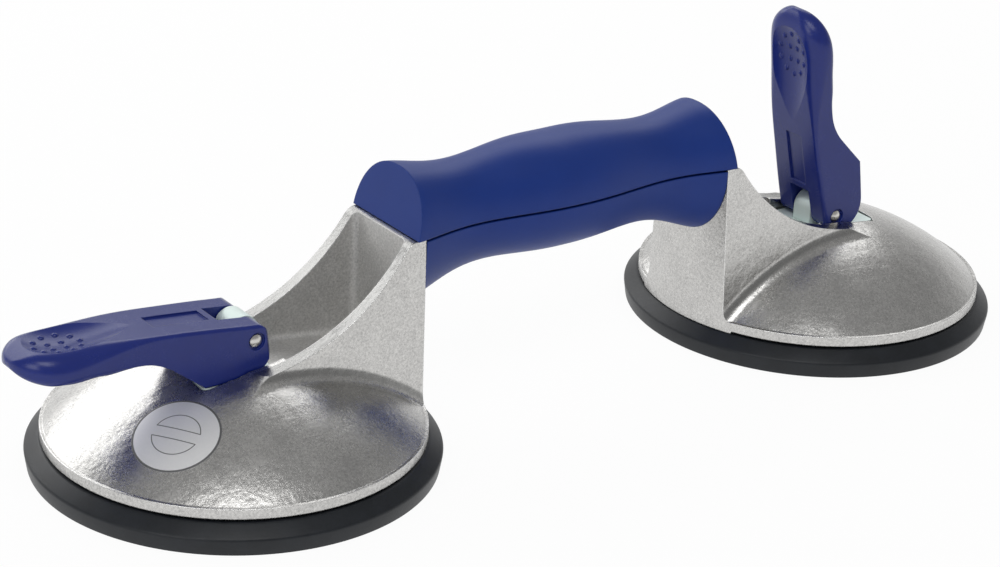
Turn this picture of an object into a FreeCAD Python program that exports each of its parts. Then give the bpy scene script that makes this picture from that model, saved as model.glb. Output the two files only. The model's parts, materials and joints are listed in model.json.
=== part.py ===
"""Twin-cup suction lifter for floor tiles: two die-cast cups on rubber pads, joined by a gripped bridge.

Millimetres. The origin lies midway between the two cups, on the plane that the pads rest on. +X runs
along the handle to the rear cup, +Z points up. Each cup is modelled about its own axis with its local +x
towards the handle, then set in place: the rear cup is the front cup turned half a turn about Z.
"""
import FreeCAD, Part
import math
import os

Vec = FreeCAD.Vector
X_AXIS = Vec(1, 0, 0)
Y_AXIS = Vec(0, 1, 0)
Z_AXIS = Vec(0, 0, 1)
ORIGIN = Vec(0, 0, 0)

# ---- overall -------------------------------------------------------------------------------------------
HEAD_SPACING = 221.6          # between the axes of the two cups

# ---- clearances ----------------------------------------------------------------------------------------
SOFT_GAP = 0.2                # rubber and springs to the metal that they bear on
SEAT_GAP = 0.2                # moulded shells and bushes to what they sit on
RUNNING_GAP = 0.3             # between bodies that slide or roll past each other
PIN_GAP = 0.05                # radial, pivot pin in its bores

# ---- suction pad (rubber) ------------------------------------------------------------------------------
PAD_R = 60.8                  # at the top of the outer side, its widest
PAD_FOOT_R = 60.0             # where it stands on the tile
PAD_SKIRT_HEIGHT = 5.0        # height of the outer side
PAD_SEAT_Z = 8.2              # flat ring under the casting's rim
PAD_SEAT_R = 56.6
PAD_SEAT_WIDTH = 9.0
PAD_THICKNESS = 5.0           # membrane
PAD_LIP_WIDTH = 10.0          # sealing ring that touches the tile
PAD_RECESS = 1.0              # underside above the tile inside the lip, when released
PAD_EDGE = 0.5                # small bevel around the foot

# ---- steel plate bonded on the rubber, with its threaded hub -------------------------------------------
INSERT_R = 18.0
INSERT_THICKNESS = 2.0
HUB_R = 8.0
HUB_HEIGHT = 3.0
NUT_ACROSS_FLATS = 13.0
NUT_HEIGHT = 3.5

# ---- cup casting ---------------------------------------------------------------------------------------
RIM_R = 56.2
RIM_HEIGHT = 3.8
RIM_BEVEL = 0.8
RIM_LEDGE = 1.0               # narrow ledge between the rim's edge and the foot of the dome
DOME_TOP_Z = 32.3
CASTING_WALL = 4.0
BOSS_R = 16.0                 # inside, around the guide bush
BOSS_BOTTOM_Z = 23.5
GUIDE_BORE_R = 8.0

# ---- post: the channel-shaped arm that rises from the cup to the handle --------------------------------
POST_TOP_Z = 62.8
POST_TOP_HALF_WIDTH = 16.5
POST_DRAFT = 2.8              # degrees, how much the sides spread downwards
POST_TOP_LENGTH = 7.8         # from the shoulder to the rim's edge below
POST_SWOOP_START_X = -7.0     # the side walls' concave edge leaves the dome's height here
POST_SHOULDER_R = 4.0
POST_FOOT_R = 5.0             # hollow where the side walls stand on the dome
POST_TAIL_X = -24.0           # the walls run out in the dome between the swoop's start and here
POST_TAIL_DROP = 6.0
CHANNEL_HALF_WIDTH = 13.5
CHANNEL_START_X = 8.5
CHANNEL_END_WALL = 7.2        # metal left at the handle's end
CHANNEL_FLOOR_DROP = 5.0      # the floor falls this much towards the handle
CHANNEL_FILLET = 2.5

# ---- wear plate under the cam, let into the casting ----------------------------------------------------
PLATE_TOP_Z = 30.0
PLATE_THICKNESS = 1.5
PLATE_OUTER_X = -17.0
PLATE_INNER_X = 7.5
PLATE_HALF_WIDTH = 11.2
PLATE_CORNER_R = 1.5
POCKET_GAP = 0.8              # around the plate

# ---- draw bar, pivot pin and their travel --------------------------------------------------------------
BAR_LENGTH = 10.0             # along the lifter
BAR_THICKNESS = 8.0           # across it
STUD_R = 4.0                  # threaded foot of the bar
STUD_NECK = 1.5               # between the lock nut and the flat bar
PIN_R = 2.0
PIN_DOME = 0.6
PIN_HEIGHT_LOCKED = 11.0      # above the wear plate
PIN_HEIGHT_RELEASED = 4.4
RELEASE_ANGLE = 98.0          # degrees that the lever turns from locked to released

# ---- guide bush and release spring ---------------------------------------------------------------------
BUSH_FLANGE_R = 10.0
BUSH_FLANGE_THICKNESS = 1.2
SPRING_MEAN_R = 12.5
SPRING_WIRE_R = 0.8
SPRING_TURNS = 3.5
SPRING_SECTIONS_PER_TURN = 16

# ---- lever ---------------------------------------------------------------------------------------------
# Stations are measured from the pivot pin towards the tip, heights from the pin upwards, when locked.
LEVER_LENGTH = 72.3           # pin to tip
LEVER_HEAD_HALF_WIDTH = 11.5
LEVER_WAIST_HALF_WIDTH = 10.8
LEVER_THUMB_HALF_WIDTH = 12.3
LEVER_WAIST_AT = 30.0
LEVER_SECTIONS = 8            # of the loft, from the pin to where the round tip starts
LEVER_TIP_ANGLES = (25, 45, 62, 75, 84)
LEVER_HEAD_TOP = 5.0          # top of the lever above the pin
LEVER_THUMB_TOP = 9.5
LEVER_UNDERSIDE = 0.3         # between the waist and the tip
LEVER_TIP_RISE = 0.8          # the middle of the tip lies this much above the middle of the thumb
LEVER_CREASE_R = 1.2          # between top and sides at the head
LEVER_THUMB_R = 6.0           # the same corner at the thumb
LEVER_BELLY_R = 0.8           # between underside and sides at the head
LEVER_THUMB_BELLY_R = 2.6
LEVER_HEAD_R = 4.5            # inner end of the head, seen from the side
LEVER_BEVEL = 0.9             # upright edges of the head's inner end
CAM_STEPS = 8                 # points along the cam's curve
CAM_FLAT_END = 16.5           # where the flat on the wear plate turns up into the ramp
RAMP_END = 27.0
RAMP_END_HEIGHT = -2.8
ARCH_AT = 38.0                # top of the arch behind the ramp
ARCH_HEIGHT = 1.0
ARCH_SHOULDER = 1.0           # fall of the arch half way to its feet
SCALLOP_R = 13.0              # finger scallops under the thumb end
SCALLOP_DEPTH = 0.9
SCALLOP_PITCH = 10.0
SCALLOP_TO_TIP = 10.8         # from the outer scallop to the tip
SCALLOPS = 2
SLOT_END = 9.0
SLOT_GAP = 0.5                # each side of the draw bar
PIN_SINK_R = 2.7
PIN_SINK_DEPTH = 0.9
PANEL_START = 11.0
PANEL_END = 29.0
PANEL_HALF_WIDTH = 3.6
PANEL_DEPTH = 0.6
DISH_START = 32.0
DISH_DEEP_TO_TIP = 15.3       # from its deepest place to the tip
DISH_END_TO_TIP = 4.8
DISH_HALF_WIDTH = 9.0
DISH_DEPTH = 2.2

# ---- bridge inside the grip ----------------------------------------------------------------------------
BRIDGE_HALF_WIDTH = 10.0
BRIDGE_HEIGHT = 8.5
BRIDGE_EDGE_R = 2.0
BRIDGE_JOINT_GAP = 0.05

# ---- grip shells ---------------------------------------------------------------------------------------
GRIP_END_X = 60.2             # foot of the upper shell's end faces
GRIP_END_LEAN = 12.0          # degrees, end faces lean in towards the top
GRIP_PARTING_GAP = 0.8        # dark groove between the two shells
GRIP_WALL = 3.0
GRIP_SWELL_X = 19.0
GRIP_WAIST_X = 38.0
GRIP_HIP_X = 51.0
GRIP_MID_HALF_WIDTH = 16.6
GRIP_SWELL_HALF_WIDTH = 15.2
GRIP_WAIST_HALF_WIDTH = 13.7
GRIP_HIP_HALF_WIDTH = 15.5
GRIP_END_HALF_WIDTH = 17.4
GRIP_MID_CROWN_Z = 80.4
GRIP_SWELL_CROWN_Z = 79.7
GRIP_WAIST_CROWN_Z = 77.9
GRIP_HIP_CROWN_Z = 79.7
GRIP_END_CROWN_Z = 80.6
GRIP_MID_BELLY_Z = 44.8
GRIP_SWELL_BELLY_Z = 45.7
GRIP_WAIST_BELLY_Z = 44.9
GRIP_HIP_BELLY_Z = 40.4
GRIP_END_BELLY_Z = 38.4
GRIP_BELLY_CORNER_R = 8.0
GRIP_SECTION_STEPS = 12       # points around each half of the grip
GRIP_ROUNDNESS = 0.9          # exponent of its ellipse, fuller below 1

# ---- grip screws ---------------------------------------------------------------------------------------
SCREW_X = 30.0
SCREW_R = 2.5
SCREW_HEAD_R = 4.5
SCREW_HEAD_HEIGHT = 3.0
SCREW_SOCKET_R = 1.7
SCREW_SOCKET_DEPTH = 1.6
SCREW_GRIP_LENGTH = 10.0      # how far the screw reaches into the upper shell's boss
SCREW_BOSS_R = 6.5
SCREW_BOSS_SOLE = 2.0         # plastic under the screw head
SCREW_HOLE_GAP = 0.1

# ---- worked out from the driving dimensions ------------------------------------------------------------
DOME_FOOT_R = RIM_R - RIM_LEDGE
RIM_BOTTOM_Z = PAD_SEAT_Z + SOFT_GAP
LEDGE_Z = RIM_BOTTOM_Z + RIM_HEIGHT
DOME_R = (DOME_FOOT_R ** 2 + (DOME_TOP_Z - LEDGE_Z) ** 2) / (2 * (DOME_TOP_Z - LEDGE_Z))
DOME_CENTRE_Z = DOME_TOP_Z - DOME_R
CAVITY_R = DOME_R - CASTING_WALL
POST_RISE = POST_TOP_Z - DOME_TOP_Z
POST_SHOULDER_X = RIM_R - POST_TOP_LENGTH
POST_SWOOP_R = ((POST_SHOULDER_X - POST_SWOOP_START_X) ** 2 + POST_RISE ** 2) / (2 * POST_RISE)
CHANNEL_END_X = RIM_R - CHANNEL_END_WALL
POCKET_FLOOR_Z = PLATE_TOP_Z - PLATE_THICKNESS
LIFT = PIN_HEIGHT_LOCKED - PIN_HEIGHT_RELEASED
PIN_Z_LOCKED = PLATE_TOP_Z + PIN_HEIGHT_LOCKED
PIN_Z_RELEASED = PLATE_TOP_Z + PIN_HEIGHT_RELEASED
INSERT_BOTTOM_Z = PAD_RECESS + PAD_THICKNESS
INSERT_TOP_Z = INSERT_BOTTOM_Z + INSERT_THICKNESS
HUB_TOP_Z = INSERT_TOP_Z + HUB_HEIGHT
NUT_TOP_Z = HUB_TOP_Z + NUT_HEIGHT
UPPER_SHELL_Z = POST_TOP_Z + SEAT_GAP
LOWER_SHELL_Z = UPPER_SHELL_Z - GRIP_PARTING_GAP
BRIDGE_BOTTOM_Z = POST_TOP_Z - BRIDGE_HEIGHT
SCREW_SEAT_Z = BRIDGE_BOTTOM_Z - SCREW_BOSS_SOLE
HALF_SPACING = HEAD_SPACING / 2
BEYOND = 200.0                # longer than any piece, for cutting tools


# ---- small builders ------------------------------------------------------------------------------------
def face_from(edges):
    """Flat face bounded by edges that already follow one another."""
    return Part.Face(Part.Wire(edges))


def polyline(points):
    """Straight edges joining the points in order."""
    return [Part.makeLine(a, b) for a, b in zip(points, points[1:])]


def closed_polygon(points):
    """Flat face with straight sides."""
    return face_from(polyline(points + points[:1]))


def spline(points):
    """One smooth edge through the points."""
    curve = Part.BSplineCurve()
    curve.interpolate(points)
    return curve.toShape()


def extrude_both(face, direction):
    """Prism that runs from -direction to +direction."""
    start = face.copy()
    start.translate(direction * -1)
    return start.extrude(direction * 2)


def ring_solid(edges):
    """Solid of revolution about Z from an outline in the XZ half-plane."""
    return face_from(edges).revolve(ORIGIN, Z_AXIS, 360)


def cylinder(radius, bottom_z, top_z, x=0.0, y=0.0):
    """Upright cylinder."""
    return Part.makeCylinder(radius, top_z - bottom_z, Vec(x, y, bottom_z))


def slab(x_low, x_high, half_width, z_low, z_high):
    """Box that straddles the XZ plane."""
    return Part.makeBox(x_high - x_low, 2 * half_width, z_high - z_low, Vec(x_low, -half_width, z_low))


def edges_along(shape, direction):
    """Straight edges that run along a direction."""
    found = []
    for edge in shape.Edges:
        if isinstance(edge.Curve, Part.Line) and edge.Curve.Direction.cross(direction).Length < 1e-6:
            found.append(edge)
    return found


def sphere_height(radius, centre_z, distance):
    """Height of a sphere's surface at a distance from its upright axis."""
    return centre_z + math.sqrt(radius ** 2 - distance ** 2)


def sphere_reach(radius, centre_z, z):
    """Distance from the upright axis at which a sphere's surface stands at height z."""
    return math.sqrt(radius ** 2 - (z - centre_z) ** 2)


# ---- cup casting ---------------------------------------------------------------------------------------
def cup_shell():
    """Spherical cup with its flat rim, and the boss inside around the guide bore."""
    mouth_r = sphere_reach(CAVITY_R, DOME_CENTRE_Z, RIM_BOTTOM_Z)
    mouth = Vec(mouth_r, 0, RIM_BOTTOM_Z)
    crown = Vec(0, 0, DOME_TOP_Z)
    roof = Vec(0, 0, DOME_TOP_Z - CASTING_WALL)
    outer_mid_r = DOME_FOOT_R / 2
    inner_mid_r = mouth_r / 2
    outer_mid = Vec(outer_mid_r, 0, sphere_height(DOME_R, DOME_CENTRE_Z, outer_mid_r))
    inner_mid = Vec(inner_mid_r, 0, sphere_height(CAVITY_R, DOME_CENTRE_Z, inner_mid_r))
    rim = [mouth, Vec(RIM_R - RIM_BEVEL, 0, RIM_BOTTOM_Z), Vec(RIM_R, 0, RIM_BOTTOM_Z + RIM_BEVEL),
           Vec(RIM_R, 0, LEDGE_Z), Vec(DOME_FOOT_R, 0, LEDGE_Z)]
    outline = polyline(rim)
    outline.append(Part.Arc(rim[-1], outer_mid, crown).toShape())
    outline.append(Part.makeLine(crown, roof))
    outline.append(Part.Arc(roof, inner_mid, mouth).toShape())
    boss = cylinder(BOSS_R, BOSS_BOTTOM_Z, POCKET_FLOOR_Z)
    return ring_solid(outline).fuse(boss)


def post_half_width(z):
    """Half-width of the post at a height: it spreads downwards by the draft angle."""
    return POST_TOP_HALF_WIDTH + (POST_TOP_Z - z) * math.tan(math.radians(POST_DRAFT))


def post_side_profile():
    """Outline of the post from the side: tail that runs out in the dome, swoop, shoulder and foot."""
    middle_x = (POST_SWOOP_START_X + POST_SHOULDER_X) / 2
    half_run = middle_x - POST_SWOOP_START_X
    middle_z = DOME_TOP_Z + POST_SWOOP_R - math.sqrt(POST_SWOOP_R ** 2 - half_run ** 2)
    start = Vec(POST_SWOOP_START_X, 0, DOME_TOP_Z)
    shoulder = Vec(POST_SHOULDER_X, 0, POST_TOP_Z)
    tail_end = Vec(POST_TAIL_X, 0, DOME_TOP_Z - POST_TAIL_DROP)
    tail_middle = Vec((start.x + tail_end.x) / 2, 0, DOME_TOP_Z - POST_TAIL_DROP / 4)
    tail = Part.Arc(tail_end, tail_middle, start).toShape()
    swoop = Part.Arc(start, Vec(middle_x, 0, middle_z), shoulder).toShape()
    sides = polyline([shoulder, Vec(2 * RIM_R, 0, POST_TOP_Z), Vec(2 * RIM_R, 0, RIM_BOTTOM_Z),
                      Vec(POST_TAIL_X, 0, RIM_BOTTOM_Z), tail_end])
    profile = extrude_both(face_from([tail, swoop] + sides), Y_AXIS * RIM_R)
    shoulder_edges = [edge for edge in edges_along(profile, Y_AXIS)
                      if edge.CenterOfMass.distanceToPoint(shoulder) < PIN_GAP]
    return profile.makeFillet(POST_SHOULDER_R, shoulder_edges)


def foot_hollow(side):
    """Ring that fills the corner between one side wall and the dome, bounded by a rolling ball's torus."""
    lean = math.radians(POST_DRAFT)
    outwards = Vec(0, side * math.cos(lean), math.sin(lean))
    dome_centre = Vec(0, 0, DOME_CENTRE_Z)
    wall_distance = (Vec(0, side * POST_TOP_HALF_WIDTH, POST_TOP_Z) - dome_centre).dot(outwards)
    upwards = Vec(0, -side * math.sin(lean), math.cos(lean))
    ball_reach = math.sqrt((DOME_R + POST_FOOT_R) ** 2 - (wall_distance + POST_FOOT_R) ** 2)
    ball_centre = outwards * (wall_distance + POST_FOOT_R) + upwards * ball_reach
    on_wall = ball_centre - outwards * POST_FOOT_R
    on_dome = ball_centre * (DOME_R / (DOME_R + POST_FOOT_R))
    half_way = (on_wall + on_dome) * 0.5 - ball_centre
    in_hollow = ball_centre + half_way * (POST_FOOT_R / half_way.Length)
    in_wall = on_wall - outwards * CASTING_WALL
    inside = [on_dome * ((DOME_R - CASTING_WALL / 2) / DOME_R), in_wall - upwards * 2 * POST_FOOT_R, in_wall]
    corners = [dome_centre + point for point in [on_dome] + inside + [on_wall]]
    arc = Part.Arc(corners[-1], dome_centre + in_hollow, corners[0]).toShape()
    return face_from(polyline(corners) + [arc]).revolve(dome_centre, outwards, 360)


def post_block():
    """Solid arm between the cup and the handle, before its channel is cut."""
    top = post_half_width(POST_TOP_Z)
    foot = post_half_width(RIM_BOTTOM_Z)
    section = [Vec(-RIM_R, -top, POST_TOP_Z), Vec(-RIM_R, top, POST_TOP_Z),
               Vec(-RIM_R, foot, RIM_BOTTOM_Z), Vec(-RIM_R, -foot, RIM_BOTTOM_Z)]
    arm = closed_polygon(section).extrude(X_AXIS * BEYOND)
    around = cylinder(RIM_R, RIM_BOTTOM_Z, POST_TOP_Z)
    cavity = Part.makeSphere(CAVITY_R, Vec(0, 0, DOME_CENTRE_Z))
    limits = post_side_profile().common(around).cut(cavity)
    block = arm.common(limits)
    for side in (-1, 1):
        block = block.fuse(foot_hollow(side).common(limits))
    return block.removeSplitter()


def channel_tool():
    """What is taken out between the post's side walls, with rounded corners."""
    far_floor_z = POCKET_FLOOR_Z - CHANNEL_FLOOR_DROP
    outline = [Vec(CHANNEL_START_X, 0, POCKET_FLOOR_Z), Vec(CHANNEL_END_X, 0, far_floor_z),
               Vec(CHANNEL_END_X, 0, BEYOND), Vec(CHANNEL_START_X, 0, BEYOND)]
    tool = extrude_both(closed_polygon(outline), Y_AXIS * CHANNEL_HALF_WIDTH)
    rounded = [edge for edge in tool.Edges if edge.CenterOfMass.z < BEYOND - CHANNEL_FILLET
               and edge.CenterOfMass.x > CHANNEL_START_X + CHANNEL_FILLET]
    return tool.makeFillet(CHANNEL_FILLET, rounded)


def pocket_tool():
    """Shallow recess that holds the wear plate."""
    pocket = slab(PLATE_OUTER_X - POCKET_GAP, CHANNEL_START_X + CHANNEL_FILLET,
                  PLATE_HALF_WIDTH + POCKET_GAP, POCKET_FLOOR_Z, BEYOND)
    outer_edges = [edge for edge in edges_along(pocket, Z_AXIS) if edge.CenterOfMass.x < 0]
    return pocket.makeFillet(PLATE_CORNER_R + POCKET_GAP, outer_edges)


def cup_casting():
    """One head of the die casting: cup, post, channel, wear-plate pocket and guide bore."""
    body = cup_shell().fuse(post_block()).removeSplitter()
    body = body.cut(channel_tool())
    body = body.cut(pocket_tool())
    return body.cut(cylinder(GUIDE_BORE_R, 0, BEYOND))


# ---- suction pad and what is fixed to it ---------------------------------------------------------------
def suction_pad(lift):
    """Rubber pad; its middle is drawn up by lift, its rim stays on the tile."""
    lip_r = PAD_FOOT_R - PAD_LIP_WIDTH
    seat_inner_r = PAD_SEAT_R - PAD_SEAT_WIDTH
    under_z = PAD_RECESS + lift
    over_z = under_z + PAD_THICKNESS
    centre_r = INSERT_R + PAD_THICKNESS / 2
    outline = [Vec(0, 0, under_z), Vec(centre_r, 0, under_z), Vec(lip_r - PAD_THICKNESS / 2, 0, PAD_RECESS),
               Vec(lip_r, 0, PAD_RECESS), Vec(lip_r + PAD_RECESS, 0, 0), Vec(PAD_FOOT_R - PAD_EDGE, 0, 0),
               Vec(PAD_FOOT_R, 0, PAD_EDGE), Vec(PAD_R, 0, PAD_SKIRT_HEIGHT), Vec(PAD_SEAT_R, 0, PAD_SEAT_Z),
               Vec(seat_inner_r, 0, PAD_SEAT_Z),
               Vec(seat_inner_r - PAD_THICKNESS / 2, 0, PAD_THICKNESS + PAD_RECESS),
               Vec(centre_r, 0, over_z), Vec(0, 0, over_z)]
    return ring_solid(polyline(outline + outline[:1]))


def pad_insert():
    """Steel plate bonded on the rubber, with the hub that takes the draw bar's stud."""
    plate = cylinder(INSERT_R, INSERT_BOTTOM_Z, INSERT_TOP_Z)
    hub = cylinder(HUB_R, INSERT_TOP_Z, HUB_TOP_Z)
    bore = cylinder(STUD_R, INSERT_TOP_Z, HUB_TOP_Z)
    return plate.fuse(hub).cut(bore)


def lock_nut():
    """Thin hexagon nut that locks the stud in the hub."""
    corner_r = NUT_ACROSS_FLATS / 2 / math.cos(math.pi / 6)
    corners = []
    for side in range(6):
        turn = math.pi * side / 3
        corners.append(Vec(corner_r * math.cos(turn), corner_r * math.sin(turn), HUB_TOP_Z))
    nut = closed_polygon(corners).extrude(Z_AXIS * NUT_HEIGHT)
    return nut.cut(cylinder(STUD_R, HUB_TOP_Z, NUT_TOP_Z))


def draw_bar():
    """Flat bar with a rounded, cross-bored top and a threaded stud below, as it lies when released."""
    shoulder_z = NUT_TOP_Z + STUD_NECK
    half_length = BAR_LENGTH / 2
    flat = Part.makeBox(BAR_LENGTH, BAR_THICKNESS, PIN_Z_RELEASED - shoulder_z,
                        Vec(-half_length, -BAR_THICKNESS / 2, shoulder_z))
    eye = Part.makeCylinder(half_length, BAR_THICKNESS, Vec(0, -BAR_THICKNESS / 2, PIN_Z_RELEASED), Y_AXIS)
    stud = cylinder(STUD_R, INSERT_TOP_Z, shoulder_z)
    bar = flat.fuse(eye).fuse(stud).removeSplitter()
    return bar.cut(pin_bore(PIN_R + PIN_GAP, PIN_Z_RELEASED))


def pin_bore(radius, height):
    """Cutting cylinder on the pivot axis."""
    return Part.makeCylinder(radius, BEYOND, Vec(0, -BEYOND / 2, height), Y_AXIS)


def pivot_pin():
    """Steel pin with domed ends, as it lies when released."""
    straight = LEVER_HEAD_HALF_WIDTH - PIN_DOME
    dome_r = (PIN_R ** 2 + PIN_DOME ** 2) / (2 * PIN_DOME)
    pin = Part.makeCylinder(PIN_R, 2 * straight, Vec(0, -straight, PIN_Z_RELEASED), Y_AXIS)
    for side in (-1, 1):
        blank = Part.makeCylinder(PIN_R, PIN_DOME, Vec(0, side * straight, PIN_Z_RELEASED), Y_AXIS * side)
        ball = Part.makeSphere(dome_r, Vec(0, side * (LEVER_HEAD_HALF_WIDTH - dome_r), PIN_Z_RELEASED))
        pin = pin.fuse(blank.common(ball))
    return pin.removeSplitter()


# ---- wear plate, bush and spring -----------------------------------------------------------------------
def bar_window(bottom_z, top_z):
    """Rectangular hole that the draw bar slides in."""
    half_length = BAR_LENGTH / 2 + RUNNING_GAP
    return slab(-half_length, half_length, BAR_THICKNESS / 2 + RUNNING_GAP, bottom_z, top_z)


def wear_plate():
    """Zinc-plated plate that the cam presses on."""
    plate = slab(PLATE_OUTER_X, PLATE_INNER_X, PLATE_HALF_WIDTH, POCKET_FLOOR_Z, PLATE_TOP_Z)
    plate = plate.makeFillet(PLATE_CORNER_R, edges_along(plate, Z_AXIS))
    return plate.cut(bar_window(POCKET_FLOOR_Z, PLATE_TOP_Z))


def guide_bush():
    """Flanged bush that guides the draw bar through the casting."""
    flange_bottom_z = BOSS_BOTTOM_Z - BUSH_FLANGE_THICKNESS
    flange = cylinder(BUSH_FLANGE_R, flange_bottom_z, BOSS_BOTTOM_Z)
    sleeve = cylinder(GUIDE_BORE_R - PIN_GAP, BOSS_BOTTOM_Z, POCKET_FLOOR_Z - SEAT_GAP)
    return flange.fuse(sleeve).cut(bar_window(flange_bottom_z, POCKET_FLOOR_Z))


def wire_section(angle, height):
    """Eight-sided section of the spring wire, square to the coil at an angle."""
    outwards = Vec(math.cos(angle), math.sin(angle), 0)
    centre = outwards * SPRING_MEAN_R + Z_AXIS * height
    corners = []
    for side in range(8):
        turn = math.pi * side / 4
        corners.append(centre + (outwards * math.cos(turn) + Z_AXIS * math.sin(turn)) * SPRING_WIRE_R)
    return Part.makePolygon(corners + corners[:1])


def release_spring(lift):
    """Compression spring between the casting's boss and the pad insert."""
    bottom_z = INSERT_TOP_Z + lift + SPRING_WIRE_R + SOFT_GAP
    length = BOSS_BOTTOM_Z - SPRING_WIRE_R - SOFT_GAP - bottom_z
    steps = round(SPRING_TURNS * SPRING_SECTIONS_PER_TURN)
    sections = [wire_section(2 * math.pi * SPRING_TURNS * step / steps, bottom_z + length * step / steps)
                for step in range(steps + 1)]
    return Part.makeLoft(sections, True, True)


# ---- lever ---------------------------------------------------------------------------------------------
def lever_point(station, height, side=0.0):
    """Point on the locked lever: station runs outwards along -x, height is above the pin."""
    return Vec(-station, side, PIN_Z_LOCKED + height)


def cam_point(turn):
    """Cam outline, the involute whose height under the pin falls evenly with the lever's turn (radians)."""
    fall = LIFT / math.radians(RELEASE_ANGLE)
    height = PIN_HEIGHT_LOCKED - RUNNING_GAP - fall * turn
    return lever_point(fall * math.cos(turn) - height * math.sin(turn),
                       -fall * math.sin(turn) - height * math.cos(turn))


def lever_under_profile():
    """Side view that trims the lever's loft: inner end with its cam, flat, ramp and arch."""
    full_turn = math.radians(RELEASE_ANGLE)
    cam = [cam_point(full_turn * step / CAM_STEPS) for step in range(CAM_STEPS + 1)]
    standing_face = Vec(math.cos(full_turn), 0, math.sin(full_turn))
    face_height = PIN_Z_LOCKED + LEVER_HEAD_TOP - LEVER_HEAD_R - cam[-1].z
    face_end = cam[-1] + standing_face * (face_height / standing_face.z)
    diagonal = math.sqrt(0.5)
    head_top = face_end + Vec(-LEVER_HEAD_R, 0, LEVER_HEAD_R + PIN_GAP)
    head_middle = face_end + Vec(diagonal - 1, 0, diagonal) * LEVER_HEAD_R
    bottom = -(PIN_HEIGHT_LOCKED - RUNNING_GAP)
    arch_half = (ARCH_AT - RAMP_END) / 2
    arch = [lever_point(ARCH_AT + 2 * arch_half, bottom / 2),
            lever_point(ARCH_AT + arch_half, ARCH_HEIGHT - ARCH_SHOULDER),
            lever_point(ARCH_AT, ARCH_HEIGHT), lever_point(ARCH_AT - arch_half, ARCH_HEIGHT - ARCH_SHOULDER),
            lever_point(RAMP_END, RAMP_END_HEIGHT)]
    head_end = Part.Arc(face_end, head_middle, head_top).toShape()
    edges = [spline(cam), Part.makeLine(cam[-1], face_end), head_end]
    edges += polyline([head_top, head_top + Z_AXIS * BEYOND, lever_point(BEYOND, BEYOND),
                       lever_point(BEYOND, bottom / 2), arch[0]])
    edges.append(spline(arch))
    edges += polyline([arch[-1], lever_point(CAM_FLAT_END, bottom), cam[0]])
    return face_from(edges)


def smooth_rise(value, low, high):
    """0 below low, 1 above high and an even S between them."""
    share = min(max((value - low) / (high - low), 0.0), 1.0)
    return share * share * (3 - 2 * share)


def lever_top(station):
    """Height of the lever's top above the pin, along its middle."""
    thumb_at = LEVER_LENGTH - LEVER_THUMB_HALF_WIDTH
    share = min(max(station / thumb_at, 0.0), 1.0)
    return LEVER_HEAD_TOP + (LEVER_THUMB_TOP - LEVER_HEAD_TOP) * math.sin(share * math.pi / 2)


def lever_section(station):
    """Cross-section of the lever: flat sides, and corners that grow rounder towards the thumb end."""
    thumb_at = LEVER_LENGTH - LEVER_THUMB_HALF_WIDTH
    end_share = max((station - thumb_at) / LEVER_THUMB_HALF_WIDTH, 0.0)
    round_off = math.sqrt(1 - end_share ** 2)
    waist = smooth_rise(station, 0, LEVER_WAIST_AT)
    swell = smooth_rise(station, LEVER_WAIST_AT, thumb_at)
    half_width = (LEVER_HEAD_HALF_WIDTH + (LEVER_WAIST_HALF_WIDTH - LEVER_HEAD_HALF_WIDTH) * waist
                  + (LEVER_THUMB_HALF_WIDTH - LEVER_WAIST_HALF_WIDTH) * swell) * round_off
    lowest = -PIN_HEIGHT_LOCKED - LEVER_BEVEL
    bottom = lowest + (LEVER_UNDERSIDE - lowest) * smooth_rise(station, CAM_FLAT_END, ARCH_AT)
    half_height = (lever_top(station) - bottom) / 2 * round_off
    middle = (lever_top(station) + bottom) / 2 + LEVER_TIP_RISE * end_share
    crease = (LEVER_CREASE_R + (LEVER_THUMB_R - LEVER_CREASE_R) * swell) * round_off
    belly = (LEVER_BELLY_R + (LEVER_THUMB_BELLY_R - LEVER_BELLY_R) * swell) * round_off
    diagonal = math.sqrt(0.5)
    corners = []
    for side, level, radius in ((1, 1, crease), (-1, 1, crease), (-1, -1, belly), (1, -1, belly)):
        across = side * (half_width - radius)
        height = middle + level * (half_height - radius)
        on_side = lever_point(station, height, across + side * radius)
        on_level = lever_point(station, height + level * radius, across)
        between = lever_point(station, height + level * radius * diagonal, across + side * radius * diagonal)
        corners.append((on_side, between, on_level) if side == level else (on_level, between, on_side))
    edges = []
    for corner, following in zip(corners, corners[1:] + corners[:1]):
        edges.append(Part.Arc(*corner).toShape())
        edges.append(Part.makeLine(corner[-1], following[0]))
    return Part.Wire(edges)


def lever_blank():
    """Loft of the lever from behind its head to the thumb end, with closer sections around the tip."""
    thumb_at = LEVER_LENGTH - LEVER_THUMB_HALF_WIDTH
    stations = [thumb_at * step / LEVER_SECTIONS for step in range(-1, LEVER_SECTIONS + 1)]
    stations += [thumb_at + LEVER_THUMB_HALF_WIDTH * math.sin(math.radians(angle))
                 for angle in LEVER_TIP_ANGLES]
    return Part.makeLoft([lever_section(station) for station in stations], True, False)


def thumb_dish():
    """Cutting body of the teardrop dish, turned about an axis that floats above the thumb end."""
    axis_height = (DISH_HALF_WIDTH ** 2 - DISH_DEPTH ** 2) / (2 * DISH_DEPTH)
    end_at = LEVER_LENGTH - DISH_END_TO_TIP
    deepest_at = LEVER_LENGTH - DISH_DEEP_TO_TIP
    half_way = (DISH_START + deepest_at) / 2
    start = lever_point(DISH_START, lever_top(DISH_START))
    shoulder = lever_point(half_way, lever_top(half_way) - DISH_DEPTH / 2)
    deepest = lever_point(deepest_at, lever_top(deepest_at) - DISH_DEPTH)
    end = lever_point(end_at, lever_top(end_at))
    up = Vec((start - end).z, 0, (end - start).x)
    up = up * (math.copysign(axis_height, up.z) / up.Length)
    outline = [spline([start, shoulder, deepest, end]), *polyline([end, end + up, start + up, start])]
    return face_from(outline).revolve(start + up, end - start, 360)


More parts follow.
